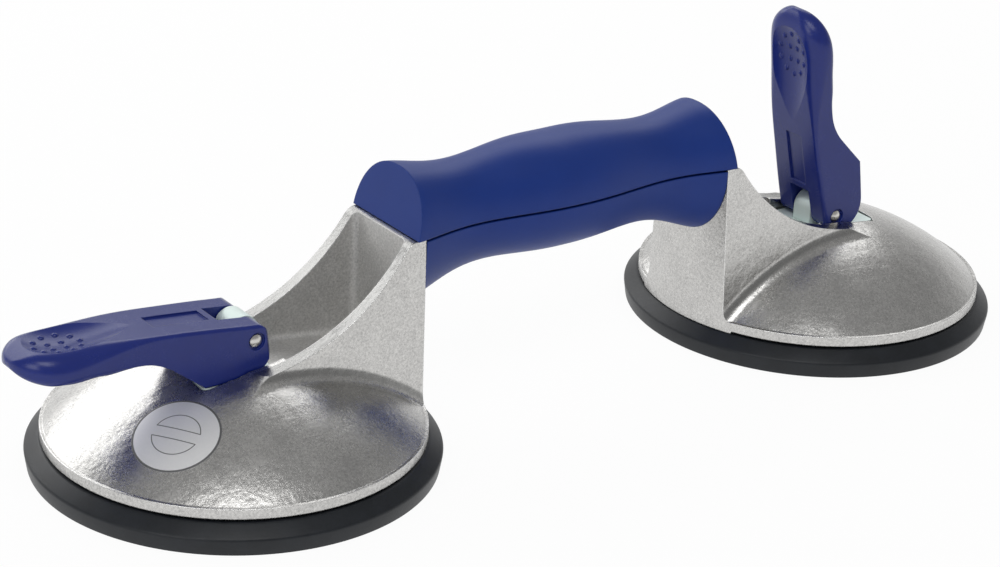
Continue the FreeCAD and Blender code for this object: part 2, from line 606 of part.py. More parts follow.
def name_panel():
    """Shallow bare panel let into the top of the lever, behind the slot."""
    low = lever_point(PANEL_START, lever_top(PANEL_START) - PANEL_DEPTH)
    high = lever_point(PANEL_END, lever_top(PANEL_END) - PANEL_DEPTH)
    outline = [low, high, high + Z_AXIS * LEVER_HEAD_TOP, low + Z_AXIS * LEVER_HEAD_TOP]
    return extrude_both(closed_polygon(outline), Y_AXIS * PANEL_HALF_WIDTH)


def head_bevel(side):
    """Cutting prism that bevels one upright edge of the face that the released lever stands on."""
    full_turn = math.radians(RELEASE_ANGLE)
    upright = Vec(math.cos(full_turn), 0, math.sin(full_turn))
    inwards = Vec(-math.sin(full_turn), 0, math.cos(full_turn))
    edge = cam_point(full_turn) + Y_AXIS * (side * LEVER_HEAD_HALF_WIDTH) - upright * BEYOND
    on_side = edge + inwards * LEVER_BEVEL
    on_face = edge - Y_AXIS * (side * LEVER_BEVEL)
    past_side = on_side + (on_side - on_face)
    past_face = on_face + (on_face - on_side)
    outwards = (Y_AXIS * side - inwards) * LEVER_HEAD_HALF_WIDTH
    outline = closed_polygon([past_side, past_face, past_face + outwards, past_side + outwards])
    return outline.extrude(upright * (2 * BEYOND))


def finger_scallop(order):
    """Cutting cylinder of one of the scallops under the thumb end, counted from the tip."""
    station = LEVER_LENGTH - SCALLOP_TO_TIP - SCALLOP_PITCH * order
    centre = lever_point(station, LEVER_UNDERSIDE + SCALLOP_DEPTH - SCALLOP_R, -RIM_R)
    return Part.makeCylinder(SCALLOP_R, 2 * RIM_R, centre, Y_AXIS)


def lever():
    """Moulded lever in its locked place, slotted for the draw bar and bored for the pivot pin."""
    body = lever_blank().common(extrude_both(lever_under_profile(), Y_AXIS * RIM_R))
    for order in range(SCALLOPS):
        body = body.cut(finger_scallop(order))
    slot = slab(-SLOT_END, BEYOND, BAR_THICKNESS / 2 + SLOT_GAP, 0, BEYOND)
    body = body.cut(slot).cut(thumb_dish()).cut(name_panel())
    body = body.cut(pin_bore(PIN_R + PIN_GAP, PIN_Z_LOCKED))
    for side in (-1, 1):
        mouth = Vec(0, side * (LEVER_HEAD_HALF_WIDTH - PIN_SINK_DEPTH), PIN_Z_LOCKED)
        body = body.cut(Part.makeCylinder(PIN_SINK_R, BEYOND, mouth, Y_AXIS * side))
        body = body.cut(head_bevel(side))
    return body


# ---- grip and bridge -----------------------------------------------------------------------------------
def grip_section(x, half_width, base_z, crown_z):
    """D-shaped wire across the grip: flat side at base_z, rounded side at crown_z (above or below)."""
    points = []
    for step in range(GRIP_SECTION_STEPS + 1):
        angle = math.pi * step / GRIP_SECTION_STEPS
        across = math.copysign(abs(math.cos(angle)) ** GRIP_ROUNDNESS, math.cos(angle))
        upwards = math.sin(angle) ** GRIP_ROUNDNESS
        points.append(Vec(x, half_width * across, base_z + (crown_z - base_z) * upwards))
    return Part.Wire([spline(points), Part.makeLine(points[-1], points[0])])


def grip_loft(stations, base_z, inset):
    """Loft through mirrored sections; inset shrinks every section for the hollow inside."""
    toward_base = math.copysign(inset, base_z - stations[0][2])
    sections = [grip_section(x, half_width - inset, base_z, crown_z + toward_base)
                for x, half_width, crown_z in stations]
    return Part.makeLoft(sections, True, False)


def grip_stations(crowns):
    """Stations along the grip, the same on both sides of its middle: place, half-width and crown height."""
    places = (0, GRIP_SWELL_X, GRIP_WAIST_X, GRIP_HIP_X, GRIP_END_X)
    half_widths = (GRIP_MID_HALF_WIDTH, GRIP_SWELL_HALF_WIDTH, GRIP_WAIST_HALF_WIDTH,
                   GRIP_HIP_HALF_WIDTH, GRIP_END_HALF_WIDTH)
    half = list(zip(places, half_widths, crowns))
    return [(-x, half_width, crown_z) for x, half_width, crown_z in reversed(half[1:])] + half


def upper_shell():
    """Upper half of the grip; its leaning end faces stand on the posts."""
    stations = grip_stations((GRIP_MID_CROWN_Z, GRIP_SWELL_CROWN_Z, GRIP_WAIST_CROWN_Z,
                              GRIP_HIP_CROWN_Z, GRIP_END_CROWN_Z))
    outside = grip_loft(stations, UPPER_SHELL_Z, 0)
    hollow = grip_loft(stations, UPPER_SHELL_Z, GRIP_WALL)
    lean = GRIP_END_X - (BEYOND - UPPER_SHELL_Z) * math.tan(math.radians(GRIP_END_LEAN))
    wedge = closed_polygon([Vec(-GRIP_END_X, 0, UPPER_SHELL_Z), Vec(GRIP_END_X, 0, UPPER_SHELL_Z),
                            Vec(lean, 0, BEYOND), Vec(-lean, 0, BEYOND)])
    inner_end = HALF_SPACING - RIM_R - GRIP_WALL
    shell = outside.common(extrude_both(wedge, Y_AXIS * RIM_R))
    shell = shell.cut(hollow.common(slab(-inner_end, inner_end, RIM_R, 0, BEYOND)))
    bore_top = UPPER_SHELL_Z + SCREW_GRIP_LENGTH
    for x in (-SCREW_X, SCREW_X):
        boss = cylinder(SCREW_BOSS_R, UPPER_SHELL_Z, bore_top + GRIP_WALL, x)
        shell = shell.fuse(boss).cut(cylinder(SCREW_R, UPPER_SHELL_Z, bore_top, x))
    return shell


def lower_shell():
    """Lower half of the grip, between the posts, with counterbored bosses for the screws."""
    stations = grip_stations((GRIP_MID_BELLY_Z, GRIP_SWELL_BELLY_Z, GRIP_WAIST_BELLY_Z,
                              GRIP_HIP_BELLY_Z, GRIP_END_BELLY_Z))
    outside = grip_loft(stations, LOWER_SHELL_Z, 0)
    hollow = grip_loft(stations, LOWER_SHELL_Z, GRIP_WALL)
    end_x = HALF_SPACING - math.sqrt((RIM_R + SEAT_GAP) ** 2 - POST_TOP_HALF_WIDTH ** 2)
    block = slab(-end_x, end_x, RIM_R, GRIP_HIP_BELLY_Z - GRIP_WALL, LOWER_SHELL_Z)
    corners = [edge for edge in edges_along(block, Y_AXIS) if edge.CenterOfMass.z < GRIP_HIP_BELLY_Z]
    shell = outside.common(block.makeFillet(GRIP_BELLY_CORNER_R, corners))
    inner_end = HALF_SPACING - RIM_R - GRIP_WALL
    shell = shell.cut(hollow.common(slab(-inner_end, inner_end, RIM_R, 0, LOWER_SHELL_Z)))
    for x in (-SCREW_X, SCREW_X):
        boss = cylinder(SCREW_BOSS_R, GRIP_HIP_BELLY_Z, BRIDGE_BOTTOM_Z - SEAT_GAP, x).common(outside)
        shell = shell.fuse(boss)
        shell = shell.cut(cylinder(SCREW_R + SCREW_HOLE_GAP, 0, BEYOND, x))
        shell = shell.cut(cylinder(SCREW_HEAD_R + SEAT_GAP, 0, SCREW_SEAT_Z, x))
    for side in (-1, 1):
        shell = shell.cut(cylinder(RIM_R + SEAT_GAP, 0, BEYOND, side * HALF_SPACING))
    return shell.cut(slab(-BEYOND, BEYOND, BRIDGE_HALF_WIDTH + SEAT_GAP, BRIDGE_BOTTOM_Z - SEAT_GAP, BEYOND))


def grip_screws():
    """Two socket screws from below, through the lower shell and the bridge into the upper shell."""
    screws = []
    for x in (-SCREW_X, SCREW_X):
        head = cylinder(SCREW_HEAD_R, SCREW_SEAT_Z - SCREW_HEAD_HEIGHT, SCREW_SEAT_Z, x)
        shank = cylinder(SCREW_R, SCREW_SEAT_Z, UPPER_SHELL_Z + SCREW_GRIP_LENGTH, x)
        socket = cylinder(SCREW_SOCKET_R, 0, SCREW_SEAT_Z - SCREW_HEAD_HEIGHT + SCREW_SOCKET_DEPTH, x)
        screws.append(head.fuse(shank).cut(socket))
    return Part.makeCompound(screws)


def handle_bridge():
    """Cast bar inside the grip that carries the load from one cup to the other."""
    bar = slab(-HALF_SPACING, HALF_SPACING, BRIDGE_HALF_WIDTH, BRIDGE_BOTTOM_Z, POST_TOP_Z)
    bar = bar.makeFillet(BRIDGE_EDGE_R, edges_along(bar, X_AXIS))
    for x in (-SCREW_X, SCREW_X):
        bar = bar.cut(cylinder(SCREW_R + SCREW_HOLE_GAP, 0, BEYOND, x))
    for side in (-1, 1):
        bar = bar.cut(cylinder(RIM_R + BRIDGE_JOINT_GAP, 0, BEYOND, side * HALF_SPACING))
    return bar


# ---- assembly ------------------------------------------------------------------------------------------
def placed(shape, is_rear):
    """Shape moved from its cup's own frame to the lifter's frame."""
    result = shape.copy()
    if is_rear:
        result.rotate(ORIGIN, Z_AXIS, 180)
    result.translate(X_AXIS * (HALF_SPACING if is_rear else -HALF_SPACING))
    return result


def raised(shape, lift):
    """Shape moved up by the lift of a locked pad."""
    result = shape.copy()
    result.translate(Z_AXIS * lift)
    return result


def head_pieces(is_released):
    """Every piece of one head in its cup's own frame, by name."""
    lift = 0.0 if is_released else LIFT
    turned_lever = lever()
    if is_released:
        turned_lever.rotate(Vec(0, 0, PIN_Z_LOCKED), Y_AXIS, RELEASE_ANGLE)
        turned_lever.translate(Z_AXIS * -LIFT)
    return {
        "cup_casting": cup_casting(),
        "suction_pad": suction_pad(lift),
        "pad_insert": raised(pad_insert(), lift),
        "lock_nut": raised(lock_nut(), lift),
        "draw_bar": raised(draw_bar(), lift),
        "pivot_pin": raised(pivot_pin(), lift),
        "guide_bush": guide_bush(),
        "release_spring": release_spring(lift),
        "wear_plate": wear_plate(),
        "lever": turned_lever,
    }


def main():
    """Build the lifter as it is shown: front lever locked, rear lever released."""
    os.makedirs("parts", exist_ok=True)
    nodes = {"handle_bridge": handle_bridge(), "grip_upper_shell": upper_shell(),
             "grip_lower_shell": lower_shell(), "grip_screws": grip_screws()}
    for end, is_rear in (("front", False), ("rear", True)):
        for name, shape in head_pieces(is_rear).items():
            nodes[end + "_" + name] = placed(shape, is_rear)
    for name, shape in nodes.items():
        shape.exportStep("parts/" + name + ".step")


main()
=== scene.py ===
import json
import math

import bmesh
import bpy
import numpy as np
from mathutils import Matrix, Vector
from mathutils.bvhtree import BVHTree


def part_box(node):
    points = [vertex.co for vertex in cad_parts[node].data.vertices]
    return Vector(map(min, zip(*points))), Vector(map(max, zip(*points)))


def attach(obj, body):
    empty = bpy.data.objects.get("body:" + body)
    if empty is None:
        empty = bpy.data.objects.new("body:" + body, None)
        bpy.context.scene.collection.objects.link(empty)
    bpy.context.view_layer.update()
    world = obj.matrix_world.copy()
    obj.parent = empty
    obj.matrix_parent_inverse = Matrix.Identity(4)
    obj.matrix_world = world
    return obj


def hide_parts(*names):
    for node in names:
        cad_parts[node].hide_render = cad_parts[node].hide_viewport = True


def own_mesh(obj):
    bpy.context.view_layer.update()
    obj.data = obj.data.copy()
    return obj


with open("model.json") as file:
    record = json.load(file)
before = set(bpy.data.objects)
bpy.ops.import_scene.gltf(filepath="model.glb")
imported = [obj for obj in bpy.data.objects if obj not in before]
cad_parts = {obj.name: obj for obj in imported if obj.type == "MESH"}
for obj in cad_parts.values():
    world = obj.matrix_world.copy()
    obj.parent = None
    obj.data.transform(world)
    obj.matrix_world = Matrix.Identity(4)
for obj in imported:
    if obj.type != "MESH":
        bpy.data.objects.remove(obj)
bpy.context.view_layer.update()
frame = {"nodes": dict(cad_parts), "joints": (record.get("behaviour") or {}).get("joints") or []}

nodes = frame["nodes"]
joints = {joint["name"]: joint for joint in frame["joints"]}

# ---- view ----------------------------------------------------------------------------------------------
# A camera at table height, in front of the lifter and a little to its left, looking down on the grip.
# Its place is set by a bearing, a height angle and a distance from a point on the floor.
VIEW_BEARING = math.radians(37.13)
VIEW_HEIGHT_ANGLE = math.radians(23.65)
VIEW_ROLL = math.radians(3.01)
VIEW_DISTANCE = 0.93904
VIEW_TARGET = Vector((0.02986, 0.06216, 0.0))
VIEW_LENS = 100.73

scene = bpy.context.scene
forward = Vector((math.sin(VIEW_BEARING) * math.cos(VIEW_HEIGHT_ANGLE),
                  math.cos(VIEW_BEARING) * math.cos(VIEW_HEIGHT_ANGLE),
                  -math.sin(VIEW_HEIGHT_ANGLE)))
level_right = Vector((math.cos(VIEW_BEARING), -math.sin(VIEW_BEARING), 0.0))
level_up = level_right.cross(forward)
camera_right = math.cos(VIEW_ROLL) * level_right + math.sin(VIEW_ROLL) * level_up
camera_up = math.cos(VIEW_ROLL) * level_up - math.sin(VIEW_ROLL) * level_right
camera_data = bpy.data.cameras.new("view")
camera_data.sensor_width = 36.0
camera_data.lens = VIEW_LENS
camera_data.clip_start = 0.01
camera = bpy.data.objects.new("view", camera_data)
camera.matrix_world = (Matrix.Translation(VIEW_TARGET - forward * VIEW_DISTANCE)
                       @ Matrix((camera_right, camera_up, -forward)).transposed().to_4x4())
scene.collection.objects.link(camera)
scene.camera = camera
scene.view_settings.view_transform = "Standard"


# ---- floor and backdrop --------------------------------------------------------------------------------
# A wide sheet of matt white paper that lies under the lifter and reaches far behind it.
# It takes a soft shadow close to the pads.
class Shade:
    """One output of a shader node; + - * and ** on it add the Math nodes of the expression."""

    def __init__(self, tree, output=None):
        self.tree = tree
        self.output = output

    def node(self, kind, settings=None, values=None, result=0):
        """Adds one node: its settings first, then the values or links of its sockets."""
        added = self.tree.nodes.new(kind)
        for name, value in (settings or {}).items():
            if name == "stops":
                Shade.set_stops(added.color_ramp, value)
            else:
                setattr(added, name, value)
        for name, value in (values or {}).items():
            if isinstance(value, Shade):
                self.tree.links.new(value.output, added.inputs[name])
            else:
                added.inputs[name].default_value = value
        return Shade(self.tree, added.outputs[result] if added.outputs else None)

    @staticmethod
    def set_stops(ramp, stops):
        """Gives a colour ramp its stops, pairs of a place and a colour."""
        while len(ramp.elements) < len(stops):
            ramp.elements.new(1.0)
        for element, (place, colour) in zip(ramp.elements, stops):
            element.position = place
            element.color = colour

    def maths(self, operation, first, second):
        """Math node of two numbers or sockets."""
        return self.node("ShaderNodeMath", {"operation": operation}, {0: first, 1: second})

    def __add__(self, other):
        return self.maths("ADD", self, other)

    def __radd__(self, other):
        return self.maths("ADD", other, self)

    def __sub__(self, other):
        return self.maths("SUBTRACT", self, other)

    def __rsub__(self, other):
        return self.maths("SUBTRACT", other, self)

    def __mul__(self, other):
        return self.maths("MULTIPLY", self, other)

    def __rmul__(self, other):
        return self.maths("MULTIPLY", other, self)

    def __pow__(self, other):
        return self.maths("POWER", self, other)

    def __abs__(self):
        return self.node("ShaderNodeMath", {"operation": "ABSOLUTE"}, {0: self})

    def parts(self):
        """The three numbers of a vector."""
        split = self.tree.nodes.new("ShaderNodeSeparateXYZ")
        self.tree.links.new(self.output, split.inputs[0])
        return [Shade(self.tree, number) for number in split.outputs]

    def step(self, low, high):
        """Smooth rise from 0 at low to 1 at high."""
        return self.node("ShaderNodeMapRange", {"interpolation_type": "SMOOTHSTEP"},
                         {"Value": self, "From Min": low, "From Max": high})

    def tint(self, low, high):
        """Colour between low, where the socket is 0, and high, where it is 1."""
        return self.node("ShaderNodeMix", {"data_type": "RGBA"}, {0: self, 6: low, 7: high}, 2)

    def place(self):
        """Position on the piece, in metres."""
        return self.node("ShaderNodeTexCoord", None, None, 3)

    def noise(self, size, detail=3.0, roughness=0.5):
        """Cloudy noise from 0 to 1 whose patches are about size metres across."""
        return self.node("ShaderNodeTexNoise", None, {
            "Vector": self.place(), "Scale": 1.0 / size, "Detail": detail, "Roughness": roughness})

    def facing(self):
        """Unit normal of the face, in world directions."""
        return self.node("ShaderNodeNewGeometry", None, None, "Normal")

    def rounded(self, radius):
        """Normal of the face, turned towards its neighbours' within a radius of its edges."""
        return self.node("ShaderNodeBevel", {"samples": 6}, {"Radius": radius})

    def relief(self, height, depth, under=None):
        """Bump of a given depth in metres, on top of another normal if there is one."""
        values = {"Height": height, "Distance": depth, "Strength": 1.0}
        if under is not None:
            values["Normal"] = under
        return self.node("ShaderNodeBump", None, values)


def grown_material(name, surface_of):
    """Node material whose shader is what surface_of gives for an empty Shade."""
    material = bpy.data.materials.new(name)
    material.use_nodes = True
    material.node_tree.nodes.clear()
    start = Shade(material.node_tree)
    start.node("ShaderNodeOutputMaterial", None, {"Surface": surface_of(start)})
    return material


def grid_mesh(name, points, closed_rows=False, closed_columns=False, poles=None):
    """Object from a grid of points (rows, columns, 3): each cell between four neighbours is one face.
    With poles, a pair of points, the first and the last row are closed by fans of triangles."""
    rows, columns = points.shape[:2]
    index = np.arange(rows * columns).reshape(rows, columns)
    if closed_rows:
        index = np.vstack((index, index[:1]))
    if closed_columns:
        index = np.hstack((index, index[:, :1]))
    quads = np.stack((index[:-1, :-1], index[1:, :-1], index[1:, 1:], index[:-1, 1:]), -1).reshape(-1, 4)
    faces = quads.tolist()
    vertices = points.reshape(-1, 3)
    if poles is not None:
        first, last = rows * columns, rows * columns + 1
        vertices = np.vstack((vertices, np.array(poles)))
        faces += np.stack((np.full(columns, first), index[0, :-1], index[0, 1:]), -1).tolist()
        faces += np.stack((np.full(columns, last), index[-1, 1:], index[-1, :-1]), -1).tolist()
    mesh = bpy.data.meshes.new(name)
    mesh.from_pydata(vertices, [], faces)
    mesh.shade_smooth()
    made = bpy.data.objects.new(name, mesh)
    scene.collection.objects.link(made)
    return made


WHITE = (1.0, 1.0, 1.0, 1.0)
PAPER_DULL = (0.93, 0.93, 0.93, 1.0)
PAPER_BRIGHT = (0.97, 0.97, 0.97, 1.0)
FLOOR_REACH = 2.6
FLOOR_GLOW = 0.95  # share of pure white that the camera and mirrors see in the paper


def paper_surface(shade):
    """Matt white paper with a trace of fibre."""
    fibre = shade.noise(0.011)
    paper = shade.node("ShaderNodeBsdfPrincipled", None, {
        "Base Color": fibre.tint(PAPER_DULL, PAPER_BRIGHT), "Roughness": 0.9})
    glow = shade.node("ShaderNodeEmission", None, {"Color": WHITE, "Strength": 1.0})
    seen_plainly = (shade.node("ShaderNodeLightPath", None, None, "Is Camera Ray")
                    + shade.node("ShaderNodeLightPath", None, None, "Is Glossy Ray")) * FLOOR_GLOW
    return shade.node("ShaderNodeMixShader", None, {0: seen_plainly, 1: paper, 2: glow})


floor = grid_mesh("floor", FLOOR_REACH * np.array([[[-1.0, -1.0, 0.0], [1.0, -1.0, 0.0]],
                                                   [[-1.0, 1.0, 0.0], [1.0, 1.0, 0.0]]]))
floor.data.materials.append(grown_material("white_paper", paper_surface))
floor.data.flip_normals()

# ---- light ---------------------------------------------------------------------------------------------
# Four soft boxes round a white studio: one high in front, one on the left, two behind.
# The wall behind the lifter is bright near the floor and mid-grey above; the one in front is mid-grey.
# The camera sees plain white in place of the walls.
TOWARDS_FRONT = (-math.sin(VIEW_BEARING), -math.cos(VIEW_BEARING), 0.0)
WALL_BEHIND = ((0.0, 0.95), (0.16, 0.95), (0.36, 0.52), (0.55, 0.38), (0.85, 0.42))
WALL_IN_FRONT = ((0.0, 0.38), (0.3, 0.43), (0.6, 0.40), (0.9, 0.40))
WALL_STRENGTH = 0.8


def wall_shade(rise, greys):
    """Neutral colour from pairs of a height on the unit sphere and a grey value."""
    stops = [(place, (value, value, value, 1.0)) for place, value in greys]
    return rise.node("ShaderNodeValToRGB", {"stops": stops}, {0: rise})


world = bpy.data.worlds.new("studio")
scene.world = world
world.use_nodes = True
world.node_tree.nodes.clear()
room = Shade(world.node_tree)
direction = room.node("ShaderNodeTexCoord", None, None, "Generated")
rise = direction.parts()[2]
ahead = room.node("ShaderNodeVectorMath", {"operation": "DOT_PRODUCT"},
                  {0: direction, 1: TOWARDS_FRONT}, "Value")
walls = ahead.step(-0.25, 0.35).tint(wall_shade(rise, WALL_BEHIND), wall_shade(rise, WALL_IN_FRONT))
room.node("ShaderNodeOutputWorld", None, {"Surface": room.node("ShaderNodeMixShader", None, {
    0: room.node("ShaderNodeLightPath", None, None, "Is Camera Ray"),
    1: room.node("ShaderNodeBackground", None, {"Color": walls, "Strength": WALL_STRENGTH}),
    2: room.node("ShaderNodeBackground", None, {"Color": WHITE, "Strength": 1.0})})})


def soft_box(name, place, aim, width, height, watts):
    """Rectangular lamp at a place, turned to face the aim."""
    lamp = bpy.data.lights.new(name, "AREA")
    lamp.shape = "RECTANGLE"
    lamp.size = width
    lamp.size_y = height
    lamp.energy = watts
    made = bpy.data.objects.new(name, lamp)
    made.location = place
    made.rotation_euler = (Vector(aim) - Vector(place)).to_track_quat("-Z", "Y").to_euler()
    scene.collection.objects.link(made)


soft_box("overhead_box", (-0.40, -0.62, 1.2), (-0.1, 0, 0), 0.8, 0.45, 4.2)
soft_box("back_left_box", (-0.26, 1.0, 0.60), (-0.05, 0, 0.03), 1.0, 0.7, 4.6)
soft_box("front_left_box", (-1.25, -0.55, 0.75), (0, 0, 0.03), 0.6, 0.7, 3.6)
soft_box("back_right_box", (0.62, 0.72, 0.85), (0.03, 0, 0.04), 0.9, 0.6, 3.2)

# ---- cup castings and bridge ---------------------------------------------------------------------------
# Two cups with their posts and the bar between them, die-cast in aluminium.
# The casting is tumbled with stones: its faces keep a fine grain and soft clouds, and its edges are
# painted bright, partly for the stones' polish and partly as a painted highlight. The tops of the side
# walls are painted darker as shade, and the inside of the channel stays dull.
MILLIMETRE = 0.001


def dressed(material, *names):
    """Gives CAD nodes their material."""
    for name in names:
        nodes[name].data.materials.clear()
        nodes[name].data.materials.append(material)


def edge_highlight_mask(shade, reach, low, high):
    """1 along edges that face outwards or inwards within reach, 0 on open faces."""
    agreement = shade.node("ShaderNodeVectorMath", {"operation": "DOT_PRODUCT"},
                           {0: shade.rounded(reach), 1: shade.facing()}, "Value")
    return (1.0 - agreement).step(low, high)


cup_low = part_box("front_cup_casting")[0]
FRONT_X = joints["front_lever_turn"]["pos_m"][0]
RIM_RADIUS = FRONT_X - cup_low.x
LEDGE_RADIUS = RIM_RADIUS - 1.0 * MILLIMETRE
LEDGE_HEIGHT = cup_low.z + 3.8 * MILLIMETRE
DOME_HEIGHT = 32.3 * MILLIMETRE
DOME_RISE = DOME_HEIGHT - LEDGE_HEIGHT
DOME_RADIUS = (LEDGE_RADIUS ** 2 + DOME_RISE ** 2) / (2 * DOME_RISE)
DOME_CENTRE = np.array([FRONT_X, 0.0, DOME_HEIGHT - DOME_RADIUS])
CHANNEL_HALF_WIDTH = 13.55 * MILLIMETRE
CHANNEL_START = 8.0 * MILLIMETRE
CHANNEL_END = RIM_RADIUS - 6.9 * MILLIMETRE


def shaded_tops_and_channel(shade):
    """Two masks: the narrow upward-facing top faces of the side walls, which are painted darker as shade,
    and the inside of the channel between them, where the stones reach little or nothing."""
    along, across, rise = shade.place().parts()
    inwards = abs(FRONT_X) - abs(along)
    over = (inwards ** 2.0 + across ** 2.0 + (rise - DOME_CENTRE[2]) ** 2.0) ** 0.5 - DOME_RADIUS
    upwards = shade.facing().parts()[2]
    beside = abs(across).step(CHANNEL_HALF_WIDTH, CHANNEL_HALF_WIDTH + 0.2 * MILLIMETRE)
    # Painted shade: this mask darkens the upward-facing tops of the side walls.
    shaded_tops = upwards.step(0.15, 0.3) * beside * over.step(0.4 * MILLIMETRE, 1.5 * MILLIMETRE)
    before_end = 1.0 - inwards.step(CHANNEL_END, CHANNEL_END + 0.3 * MILLIMETRE)
    inside = (1.0 - beside) * before_end * inwards.step(CHANNEL_START, CHANNEL_START + 1.5 * MILLIMETRE)
    return shaded_tops, inside


DARK_CAST = (0.36, 0.357, 0.35, 1.0)
BRIGHT_CAST = (0.76, 0.75, 0.73, 1.0)
SHADED_TOP_CAST = (0.27, 0.27, 0.265, 1.0)
POLISHED_AND_HIGHLIT_CAST = (0.95, 0.95, 0.94, 1.0)


def cast_surface(shade):
    """Tumbled aluminium: granular mottle, wide clouds, edges painted bright, partly for polish and partly
    as a painted highlight, wall tops painted darker as shade, and a duller cast skin.
    """
    clouds = shade.noise(9 * MILLIMETRE, 3.0, 0.6)
    mottle = shade.noise(0.8 * MILLIMETRE, 4.0, 0.65)
    grain = shade.noise(0.35 * MILLIMETRE, 2.0, 0.6)
    speck = shade.noise(0.6 * MILLIMETRE, 3.0, 0.75).step(0.3, 0.7)
    tone = (mottle * 0.5 + grain * 0.3 + clouds * 0.2).step(0.3, 0.7)
    shaded_tops, inside = shaded_tops_and_channel(shade)
    edge = edge_highlight_mask(shade, 0.5 * MILLIMETRE, 0.03, 0.2)
    face = (tone * 0.6 + speck * 0.4).tint(DARK_CAST, BRIGHT_CAST)
    # Painted highlight: edges are painted brighter, partly for the tumbled polish and partly as a
    # highlight. Painted shade: the wall tops are painted darker.
    colour = (edge * 0.95).tint((shaded_tops * 0.75).tint(face, SHADED_TOP_CAST), POLISHED_AND_HIGHLIT_CAST)
    roughness = 0.17 + 0.12 * clouds + 0.08 * grain - edge * 0.08 + inside * 0.2
    dents = shade.relief(mottle * 0.7 + grain * 0.3, 0.07 * MILLIMETRE, shade.rounded(0.35 * MILLIMETRE))
    return shade.node("ShaderNodeBsdfPrincipled", None, {
        "Base Color": colour, "Metallic": 1.0 - inside * 0.5, "Roughness": roughness,
        "Normal": shade.relief(clouds, 0.3 * MILLIMETRE, dents)})


tumbled_aluminium = grown_material("tumbled_aluminium", cast_surface)
dressed(tumbled_aluminium, "handle_bridge")

RUN_OUT_START = 4.0 * MILLIMETRE
RUN_OUT_END = -7.5 * MILLIMETRE
RUN_OUT_RISE = 3.0 * MILLIMETRE
WALLS_REACH = -26.0 * MILLIMETRE
WALLS_HALF_WIDTH = 26.0 * MILLIMETRE
WALLS_LOWEST = 20.0 * MILLIMETRE


def height_over_dome(place):
    """Distance of points, given about the cup's own axis, from the dome's sphere."""
    return np.linalg.norm(place - [0.0, 0.0, DOME_CENTRE[2]], axis=-1) - DOME_RADIUS


def run_out_height(along):
    """Allowed height over the dome: it falls from RUN_OUT_RISE to 0 as a smooth S along the walls."""
    share = np.clip((along - RUN_OUT_END) / (RUN_OUT_START - RUN_OUT_END), 0.0, 1.0)
    return RUN_OUT_RISE * share * share * (3 - 2 * share)


def cup_body(name, node, middle_x, facing):
    """The casting with its side walls drawn down so that they run out evenly in the dome.
    A point over the dome beyond the run-out's start is brought down along the sphere's radius to
    run_out_height of its place along the walls; the sphere's radius is then its normal."""
    mesh = nodes[node].data.copy()
    normals = np.zeros(len(mesh.loops) * 3, np.float32)
    mesh.corner_normals.foreach_get("vector", normals)
    mesh.attributes.new("cast_normal", "FLOAT_VECTOR", "CORNER").data.foreach_set("vector", normals)
    shape = bmesh.new()
    shape.from_mesh(mesh)
    bmesh.ops.remove_doubles(shape, verts=shape.verts, dist=1e-6)
    own = np.array([facing, facing, 1.0])
    middle = np.array([middle_x, 0.0, 0.0])
    for longest in (6.0, 3.0, 1.5, 0.75):
        place = (np.array([vertex.co for vertex in shape.verts]) - middle) * own
        near = ((place[:, 0] < RUN_OUT_START) & (place[:, 0] > WALLS_REACH)
                & (place[:, 2] > WALLS_LOWEST) & (abs(place[:, 1]) < WALLS_HALF_WIDTH)
                & (height_over_dome(place) > -0.01 * MILLIMETRE))
        shape.verts.index_update()
        edges = [edge for edge in shape.edges if (near[edge.verts[0].index] or near[edge.verts[1].index])
                 and edge.calc_length() > longest * MILLIMETRE]
        bmesh.ops.subdivide_edges(shape, edges=edges, cuts=1)
        bmesh.ops.triangulate(shape, faces=[face for face in shape.faces if len(face.verts) > 3])
    shape.to_mesh(mesh)
    shape.free()
    place = np.zeros(len(mesh.vertices) * 3, np.float32)
    mesh.vertices.foreach_get("co", place)
    place = (place.reshape(-1, 3).astype(float) - middle) * own
    over = height_over_dome(place)
    allowed = run_out_height(place[:, 0])
    lowered = (over > allowed + 1e-6) & (place[:, 0] < RUN_OUT_START) & (place[:, 2] > WALLS_LOWEST)
    centre = np.array([0.0, 0.0, DOME_CENTRE[2]])
    radial = (place - centre) / np.linalg.norm(place - centre, axis=1, keepdims=True)
    place = np.where(lowered[:, None], centre + radial * (DOME_RADIUS + allowed)[:, None], place)
    mesh.vertices.foreach_set("co", (place * own + middle).astype(np.float32).ravel())
    corner = np.zeros(len(mesh.loops), int)
    mesh.loops.foreach_get("vertex_index", corner)
    kept = np.zeros(len(mesh.loops) * 3, np.float32)
    mesh.attributes["cast_normal"].data.foreach_get("vector", kept)
    kept = np.where(lowered[corner][:, None], (radial * own)[corner], kept.reshape(-1, 3))
    mesh.update()
    mesh.shade_smooth()
    mesh.normals_split_custom_set((kept / np.linalg.norm(kept, axis=1, keepdims=True)).tolist())
    mesh.attributes.remove(mesh.attributes["cast_normal"])
    mesh.materials.clear()
    mesh.materials.append(tumbled_aluminium)
    made = bpy.data.objects.new(name, mesh)
    scene.collection.objects.link(made)
    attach(made, "frame")
    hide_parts(node)


cup_body("front_cup_body", "front_cup_casting", FRONT_X, 1.0)
cup_body("rear_cup_body", "rear_cup_casting", -FRONT_X, -1.0)

# ---- round plate on the front cup ----------------------------------------------------------------------
# A thin disc of satin aluminium foil stuck on the dome, with a printed hairline border and two printed
# half-moon outlines. It carries no words.
PLATE_AT = np.array([-31.4, -20.4]) * MILLIMETRE
PLATE_RADIUS = 12.8 * MILLIMETRE
PLATE_THICKNESS = 0.12 * MILLIMETRE
PLATE_RINGS = 24
PRINT_COLOUR = (0.03, 0.03, 0.035, 1.0)


